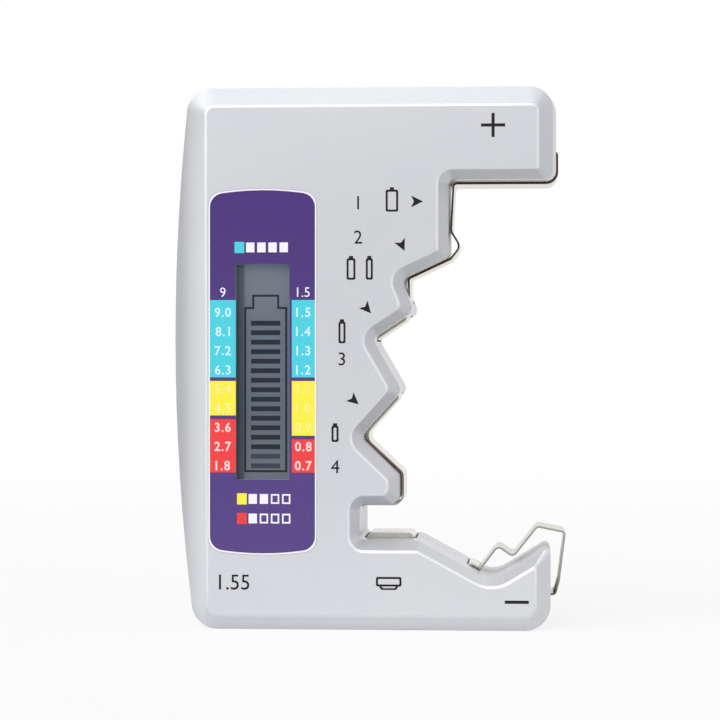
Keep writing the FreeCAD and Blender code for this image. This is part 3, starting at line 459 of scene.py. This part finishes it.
def number(text, centre_x, centre_z, height, weight=0.0, spacing=1.0):
    """A plain number of a given height, made bolder by a weight."""
    data = bpy.data.curves.new("number", "FONT")
    data.body = text
    data.offset = weight
    data.space_character = spacing
    data.resolution_u = 3
    mesh = plate_mesh(data)
    spots = [vertex.co for vertex in mesh.vertices]
    left, right = min(spot.x for spot in spots), max(spot.x for spot in spots)
    base, top = min(spot.z for spot in spots), max(spot.z for spot in spots)
    scale = height / (top - base)
    middle = Vector(((left + right) / 2, 0, (base + top) / 2))
    mesh.transform(Matrix.Translation((centre_x, 0, centre_z))
                   @ Matrix.Diagonal((scale * DIGIT_WIDTH, 1, scale, 1)) @ Matrix.Translation(-middle))
    return mesh


def piece(name, meshes, surface_y, material):
    """One object on the case from closed meshes in millimetres, seated on a surface that faces the front."""
    joint = bmesh.new()
    for mesh in meshes:
        joint.from_mesh(mesh)
        bpy.data.meshes.remove(mesh)
    bmesh.ops.remove_doubles(joint, verts=joint.verts, dist=INK / 20)
    bmesh.ops.translate(joint, verts=joint.verts, vec=(0, surface_y - INK / 2, 0))
    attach(solid(name, joint, material), CASE)


def solid(name, joint, material):
    """An object from a closed bmesh in millimetres."""
    bmesh.ops.recalc_face_normals(joint, faces=joint.faces)
    bmesh.ops.scale(joint, verts=joint.verts, vec=(MM, MM, MM))
    made = bpy.data.meshes.new(name)
    joint.to_mesh(made)
    joint.free()
    made.materials.append(material)
    item = bpy.data.objects.new(name, made)
    bpy.context.scene.collection.objects.link(item)
    return item


# Label: rim, two scales beside the window, and the level marks

RIM = 0.28
LABEL_SIDE = 63.75
LABEL_RADIUS = 2.5
LABEL_CROWN = 1.3
CROWN_SHARE = 0.95
SCALE_TOP = 59.0
SCALE_BASE = 28.2
SCALE_GAP = 0.65
SCALE_LEFT = (label_low.x + RIM, -24.2)
SCALE_RIGHT = (-14.15, label_high.x - RIM)
LEFT_ENDS = (45.2, 38.4)
RIGHT_ENDS = (45.2, 34.8)
ROW_TOP = 56.8
ROW_PITCH = 3.42
DIGIT = 1.72
DIGIT_SPACING = 1.15
NUMBERS_LEFT = ("9.0", "8.1", "7.2", "6.3", "5.4", "4.5", "3.6", "2.7", "1.8")
NUMBERS_RIGHT = ("1.5", "1.4", "1.3", "1.2", "1.1", "1.0", "0.9", "0.8", "0.7")
HEADING_Z = 60.4
SQUARE = (1.75, 2.0)
SQUARES = {"cyan_ink": (-23.55, 68.4), "yellow_ink": (-23.1, 23.5), "red_ink": (-23.1, 20.0)}
LEVELS = {"cyan_ink": 4, "yellow_ink": 2, "red_ink": 1}
LEVEL_COUNT = 4
LEVEL_BLOCK = (1.5, 1.75)
LEVEL_PITCH = 2.0
LEVEL_START = 1.95
LEVEL_LINE = 0.28


def label_loop(inset):
    """Outline of the label: round corners, and a top and base that crown in one arc."""
    half = (label_high.x - label_low.x) / 2 - inset
    rise = LABEL_SIDE / 2 - inset
    slope = math.atan2(LABEL_CROWN, half)
    corner_reach = LABEL_RADIUS * math.tan((math.pi / 2 - slope) / 2)
    crown_radius = CROWN_SHARE * (math.hypot(half, LABEL_CROWN) - corner_reach) / math.tan(slope)
    corners = [(-half, rise), (0, rise + LABEL_CROWN), (half, rise), (half, -rise), (0, -rise - LABEL_CROWN),
               (-half, -rise)]
    spots = rounded(corners, [LABEL_RADIUS, crown_radius, LABEL_RADIUS] * 2)
    return [Vector((LABEL_X, LABEL_Z)) + spot for spot in spots]


def block_between(sides, low, high):
    """A plate between two sides and two heights."""
    return plate(rectangle(sum(sides) / 2, (low + high) / 2, sides[1] - sides[0], high - low))


def scale_blocks():
    """The coloured stretches of the two scales, and the square of each level."""
    for ink, order in (("cyan_ink", 0), ("yellow_ink", 1), ("red_ink", 2)):
        blocks = [plate(rectangle(*SQUARES[ink], *SQUARE))]
        for sides, ends in ((SCALE_LEFT, LEFT_ENDS), (SCALE_RIGHT, RIGHT_ENDS)):
            tops = (SCALE_TOP, *(end - SCALE_GAP for end in ends))
            bases = (*ends, SCALE_BASE)
            blocks.append(block_between(sides, bases[order], tops[order]))
        piece(f"scale_{ink}", blocks, LABEL_Y, inks[ink])


def scale_numbers():
    """Headings in white, and the numbers of each scale in a pale tone of the stretch they stand on."""
    rows = {"white_ink": [], "cyan_number": [], "yellow_number": [], "red_number": []}
    for sides, ends, numbers, heading in ((SCALE_LEFT, LEFT_ENDS, NUMBERS_LEFT, "9"),
                                          (SCALE_RIGHT, RIGHT_ENDS, NUMBERS_RIGHT, "1.5")):
        middle = sum(sides) / 2
        rows["white_ink"].append(number(heading, middle, HEADING_Z, DIGIT))
        for row, text in enumerate(numbers):
            z = ROW_TOP - row * ROW_PITCH
            ink = "cyan_number" if z > ends[0] else "yellow_number" if z > ends[1] else "red_number"
            rows[ink].append(number(text, middle, z, DIGIT, BOLD, DIGIT_SPACING))
    for ink, meshes in rows.items():
        piece(f"scale_numbers_{ink}", meshes, LABEL_Y - INK, inks[ink])


def level_marks():
    """Four white blocks beside each square: the filled ones count the level."""
    meshes = []
    width, height = LEVEL_BLOCK
    for ink, filled in LEVELS.items():
        x, z = SQUARES[ink]
        for index in range(LEVEL_COUNT):
            centre = x + LEVEL_START + index * LEVEL_PITCH
            loops = [rectangle(centre, z, width, height)]
            if index >= filled:
                loops.append(rectangle(centre, z, width - 2 * LEVEL_LINE, height - 2 * LEVEL_LINE))
            meshes.append(plate(*loops))
    piece("level_marks", meshes, LABEL_Y, inks["white_ink"])


# Display segments: a cell outline and a column of bars

LCD_LINE = 0.36
LCD_BODY = (-22.9, -15.15)
LCD_NUB = (-21.45, -16.6)
LCD_BASE = 28.2
LCD_SHOULDER = 57.8
LCD_TOP = 60.0
BAR = (5.25, 0.86)
BAR_X = -19.05
BAR_TOP = 54.9
BAR_PITCH = 1.704
BAR_COUNT = 16
FAINT_BARS = 2


def cell_loop(inset):
    """Outline of the cell on the display, drawn in by an inset."""
    left, right = LCD_BODY[0] + inset, LCD_BODY[1] - inset
    nub_left, nub_right = LCD_NUB[0] + inset, LCD_NUB[1] - inset
    base, shoulder, top = LCD_BASE + inset, LCD_SHOULDER - inset, LCD_TOP - inset
    return [(left, base), (right, base), (right, shoulder), (nub_right, shoulder), (nub_right, top),
            (nub_left, top), (nub_left, shoulder), (left, shoulder)]


def display_segments():
    """The cell's outline and its bars. The lowest bars are faint."""
    bars = [plate(rectangle(BAR_X, BAR_TOP - index * BAR_PITCH, *BAR)) for index in range(BAR_COUNT)]
    outline = plate(cell_loop(0), cell_loop(LCD_LINE))
    piece("display_segments", [outline, *bars[:-FAINT_BARS]], FILM_Y, inks["segment_ink"])
    piece("faint_display_segments", bars[-FAINT_BARS:], FILM_Y, inks["faint_segment_ink"])


# Marks on the face: polarity signs, cell pictures, arrows and position numbers

MARK_LINE = 0.55
MARK_SPAN = 4.27
PLUS = (21.7, 90.0)
MINUS = (25.9, 5.35)
CELL_LINE = 0.36
CELL_RADIUS = 0.3
NUB = (0.75, 0.42)
# Middle, width and height of each upright cell picture
CELL_PICTURES = ((3.73, 76.65, 2.22, 3.9), (-3.57, 64.5, 1.58, 3.8), (-0.3, 64.5, 1.25, 3.8),
                 (-5.18, 53.2, 1.25, 3.85), (-6.42, 35.15, 1.25, 2.9))
BUTTON_CELL = (3.16, 8.85, 4.54, 1.7)
BUTTON_LIP = (3.4, 0.6)
# Tip of each arrow, and the way it points in degrees from the right
ARROWS = ((9.26, 76.5, 0.0), (5.98, 67.7, -65.0), (0.0, 56.6, -49.0), (-2.19, 40.4, -40.6))
ARROW_LENGTH = 2.1
ARROW_HALF = 1.03
ARROW_NOTCH = 0.5
POSITIONS = (("1", -2.3, 76.3), ("2", -2.3, 70.2), ("3", -5.2, 48.5), ("4", -6.4, 29.3))
POSITION_DIGIT = 2.35
CAPTION = ("1.55", -24.5, 8.6)
CAPTION_DIGIT = 2.7


def cell_picture(x, z, width, height):
    """An upright cell, drawn as a frame with a nub on top."""
    frame_loops = (rectangle(x, z, width, height, CELL_RADIUS),
                   rectangle(x, z, width - 2 * CELL_LINE, height - 2 * CELL_LINE, CELL_RADIUS / 2))
    nub = rectangle(x, z + height / 2 + NUB[1] / 2, *NUB)
    return [plate(*frame_loops), plate(nub)]


def button_picture():
    """A button cell from the side: a frame over a tapered lip."""
    x, z, width, height = BUTTON_CELL
    lip_width, lip_height = BUTTON_LIP
    body = plate(rectangle(x, z, width, height, CELL_RADIUS),
                 rectangle(x, z, width - 2 * CELL_LINE, height - 2 * CELL_LINE, CELL_RADIUS / 2))
    base = z - height / 2
    half = lip_width / 2
    lip = [(x - half, base), (x - half + CELL_LINE, base - lip_height),
           (x + half - CELL_LINE, base - lip_height), (x + half, base),
           (x + half - CELL_LINE, base), (x + half - 2 * CELL_LINE, base - lip_height / 2),
           (x - half + 2 * CELL_LINE, base - lip_height / 2), (x - half + CELL_LINE, base)]
    return [body, plate(lip)]


def arrow(x, z, degrees):
    """A notched arrow head with its tip at a place."""
    turn = Matrix.Rotation(math.radians(degrees), 2)
    spots = ((0, 0), (-ARROW_LENGTH, ARROW_HALF), (-ARROW_LENGTH + ARROW_NOTCH, 0),
             (-ARROW_LENGTH, -ARROW_HALF))
    return plate([Vector((x, z)) + turn @ Vector(spot) for spot in spots])


def face_marks():
    """All the black print on the face."""
    half = (MARK_SPAN - MARK_LINE) / 4
    side = MARK_LINE / 2 + half
    x, z = PLUS
    signs = [plate(rectangle(x, z, MARK_LINE, MARK_SPAN)), plate(rectangle(*MINUS, MARK_SPAN, MARK_LINE))]
    signs += [plate(rectangle(x + way * side, z, 2 * half, MARK_LINE)) for way in (-1, 1)]
    pictures = [mesh for picture in CELL_PICTURES for mesh in cell_picture(*picture)]
    numbers = [number(text, x, z, POSITION_DIGIT) for text, x, z in POSITIONS]
    meshes = [*signs, *pictures, *button_picture(), *(arrow(*spot) for spot in ARROWS), *numbers,
              number(*CAPTION, CAPTION_DIGIT)]
    piece("face_marks", meshes, FACE_Y, inks["black_ink"])


# Bend where the strip on the slope turns up into the spring arm, and the painted shade of the cross recesses
# in the case screws

STRIP = 0.35
SLOPE = 28.4
ARM_RISE = 52.8
BEND_GAP = 0.45
BEND_LAP = 0.03
BEND_STEPS = 4
HINGE = Vector((19.29, 10.457))
SCREWS = ((-26.7, 89.5), (26.7, 88.825), (-26.7, 6.6), (8.0, 6.6))
CROSS = (2.7, 0.62)


def heading(degrees):
    """Unit vector in the plane of the face, turned up from the right."""
    return Vector((math.cos(math.radians(degrees)), math.sin(math.radians(degrees))))


def arm_root_bend():
    """Short bend that joins the two strips, turning from the slope up into the arm."""
    along, onward = heading(-SLOPE), heading(ARM_RISE)
    foot = HINGE - along * (BEND_GAP + BEND_LAP)
    tip = HINGE + onward * BEND_LAP
    half = STRIP / 2
    turns = [-SLOPE - 90 + (SLOPE + ARM_RISE) * step / BEND_STEPS for step in range(BEND_STEPS + 1)]
    loop = [foot + heading(90 - SLOPE) * half, foot + heading(-SLOPE - 90) * half]
    loop += [HINGE + heading(turn) * half for turn in turns]
    loop += [tip + heading(ARM_RISE - 90) * half, tip + heading(ARM_RISE + 90) * half]
    arm_low, arm_high = box_mm("spring_arm")
    joint = bmesh.new()
    front, back = ([joint.verts.new((spot.x, level, spot.y)) for spot in loop]
                   for level in (arm_low.y, arm_high.y))
    joint.faces.new(front)
    joint.faces.new(back)
    for index in range(len(loop)):
        joint.faces.new((front[index - 1], front[index], back[index], back[index - 1]))
    item = solid("arm_root_bend", joint, spring_finish)
    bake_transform(item)


def screw_recess_shades():
    """A dark cross on the head of each case screw, painted as the shade of its cross recess, made of three
    plates that don't overlap.
    """
    head_back = box_mm("case_screws")[1].y
    length, width = CROSS
    side = (length - width) / 2
    meshes = []
    for x, z in SCREWS:
        meshes.append(plate(rectangle(x, z, width, length)))
        meshes += [plate(rectangle(x + way * (width + side) / 2, z, side, width)) for way in (-1, 1)]
    piece("screw_recess_shades", meshes, head_back + INK, inks["recess_shade"])


piece("label_rim", [plate(label_loop(0), label_loop(RIM))], LABEL_Y, inks["white_ink"])
scale_blocks()
scale_numbers()
level_marks()
display_segments()
face_marks()
arm_root_bend()
screw_recess_shades()


# Floor, light and camera

FLOOR_SPAN = 8000
FLOOR_DROP = 0.02
# Share of plain white on the floor near the object and far from it, and the distances where these hold
FLOOR_GLOW = (0.82, 1.0)
GLOW_REACH = (120, 700)


def seen_rays(tree):
    """One for rays from the camera, a reflection or a clear piece, and nought for light."""
    path = tree.nodes.new("ShaderNodeLightPath")
    total = path.outputs["Is Camera Ray"]
    for kind in ("Is Glossy Ray", "Is Transmission Ray"):
        larger = tree.nodes.new("ShaderNodeMath")
        larger.operation = "MAXIMUM"
        tree.links.new(total, larger.inputs[0])
        tree.links.new(path.outputs[kind], larger.inputs[1])
        total = larger.outputs[0]
    return total


def floor():
    """A wide pale floor that keeps the object's shadow and reads as white to the camera and to reflections."""
    bpy.ops.mesh.primitive_plane_add(size=FLOOR_SPAN * MM, location=(0, 0, -FLOOR_DROP * MM))
    item = bpy.context.object
    item.name = "floor"
    recipe = Recipe("floor", Roughness=0.9)
    grain = recipe.noise(0.02)
    recipe.set("Base Color", recipe.ramp(grain, [(0.3, grey(0.9)), (0.7, grey(0.93))]))
    glow = recipe.node("Emission")
    distance = recipe.node("VectorMath", operation="LENGTH")
    recipe.join(recipe.place(), distance.inputs[0])
    near, far = (reach * MM for reach in GLOW_REACH)
    share = recipe.node("Math", operation="MULTIPLY")
    recipe.join(recipe.stretch(distance.outputs["Value"], near, far, *FLOOR_GLOW), share.inputs[0])
    recipe.join(seen_rays(recipe.tree), share.inputs[1])
    blend = recipe.node("MixShader")
    recipe.join(share.outputs[0], blend.inputs["Fac"])
    recipe.join(recipe.shader.outputs[0], blend.inputs[1])
    recipe.join(glow.outputs[0], blend.inputs[2])
    recipe.join(blend.outputs[0], recipe.tree.nodes["Material Output"].inputs["Surface"])
    item.data.materials.append(recipe.material)


WORLD_LIGHT = 0.4


def world():
    """White to the camera, to reflections and through clear pieces, and a soft even light on the object."""
    made = bpy.data.worlds.new("studio")
    bpy.context.scene.world = made
    made.use_nodes = True
    tree = made.node_tree
    seen = tree.nodes["Background"]
    seen.inputs["Color"].default_value = (1, 1, 1, 1)
    seen.inputs["Strength"].default_value = 1.0
    light = tree.nodes.new("ShaderNodeBackground")
    light.inputs["Color"].default_value = (0.97, 0.98, 1.0, 1)
    light.inputs["Strength"].default_value = WORLD_LIGHT
    blend = tree.nodes.new("ShaderNodeMixShader")
    tree.links.new(seen_rays(tree), blend.inputs["Fac"])
    tree.links.new(light.outputs[0], blend.inputs[1])
    tree.links.new(seen.outputs[0], blend.inputs[2])
    tree.links.new(blend.outputs[0], tree.nodes["World Output"].inputs["Surface"])


def lamp(name, place, span, watts, target):
    """A square soft lamp that faces a target."""
    data = bpy.data.lights.new(name, "AREA")
    data.size = span * MM
    data.energy = watts
    item = bpy.data.objects.new(name, data)
    item.location = Vector(place) * MM
    item.rotation_euler = (Vector(target) - Vector(place)).to_track_quat("-Z", "Y").to_euler()
    bpy.context.scene.collection.objects.link(item)


# Strength, angle across in degrees, and the way to the light
SKY_LIGHT = 1.75
SKY_SPREAD = 70
SKY_FROM = (-0.45, -0.7, 0.65)


def sky_light():
    """A wide, soft and even light from the upper left, in front."""
    data = bpy.data.lights.new("sky", "SUN")
    data.energy = SKY_LIGHT
    data.angle = math.radians(SKY_SPREAD)
    item = bpy.data.objects.new("sky", data)
    item.rotation_euler = (-Vector(SKY_FROM)).to_track_quat("-Z", "Y").to_euler()
    bpy.context.scene.collection.objects.link(item)


PICTURE_MIDDLE = Vector((-1.96, FACE_Y, 48.3))
PICTURE_SPAN = 128.2
# Name, place, span, watts and target of each lamp
LAMPS = (("overhead", (160, -150, 900), 700, 1.0, PICTURE_MIDDLE),
         ("table", (260, -330, 12), 420, 0.25, (0, 0, 30)))
CAMERA_DISTANCE = 440
CAMERA_TURN = 3.9
SENSOR = 36.0


def camera():
    """Looks level at the middle of the picture from a little to the right."""
    data = bpy.data.cameras.new("camera")
    data.sensor_width = SENSOR
    data.lens = SENSOR * CAMERA_DISTANCE / PICTURE_SPAN
    item = bpy.data.objects.new("camera", data)
    turn = math.radians(CAMERA_TURN)
    away = Vector((math.sin(turn), -math.cos(turn), 0))
    item.location = (PICTURE_MIDDLE + away * CAMERA_DISTANCE) * MM
    item.rotation_euler = (-away).to_track_quat("-Z", "Y").to_euler()
    bpy.context.scene.collection.objects.link(item)
    bpy.context.scene.camera = item


bpy.context.scene.view_settings.view_transform = "Standard"
floor()
world()
sky_light()
for settings in LAMPS:
    lamp(*settings)
camera()
